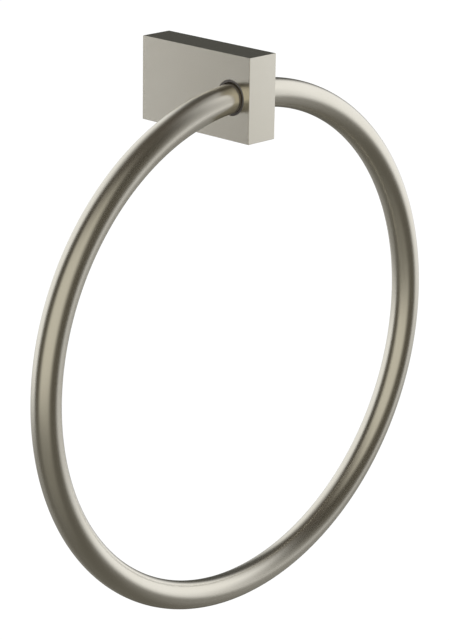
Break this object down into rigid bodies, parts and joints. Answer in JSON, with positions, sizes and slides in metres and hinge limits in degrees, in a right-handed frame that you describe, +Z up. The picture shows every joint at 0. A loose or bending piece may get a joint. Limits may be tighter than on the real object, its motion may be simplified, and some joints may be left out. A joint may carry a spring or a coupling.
{
  "type": "towel ring",
  "caption": "Wall-mounted towel ring: a round bar ring that swings in the cross bore of a slim rectangular post, on a hidden bracket.",
  "frame": {"origin": "centre of the post's back face, where it meets the wall", "axes": "+Z up, +Y into the wall, X across the post and along the ring's plane"},
  "size_m": [0.187, 0.05, 0.1965],
  "materials": {
    "satin_nickel": "fine satin brushed, warm nickel tone",
    "bush_plastic": "moulded, matt dark grey",
    "bracket_steel": "zinc plated",
    "screw_steel": "plain hardened steel"
  },
  "bodies": {
    "wall_post": {"post": "satin_nickel", "bush_left": "bush_plastic", "bush_right": "bush_plastic", "wall_bracket": "bracket_steel", "grub_screw": "screw_steel"},
    "ring": {"ring": "satin_nickel"}
  },
  "joints": [
    {"name": "ring_swing", "type": "hinge", "parent": "wall_post", "child": "ring", "pos_m": [0, -0.0415, 0], "axis": [-1, 0, 0], "range_deg": [-11.8, 191.8]}
  ]
}
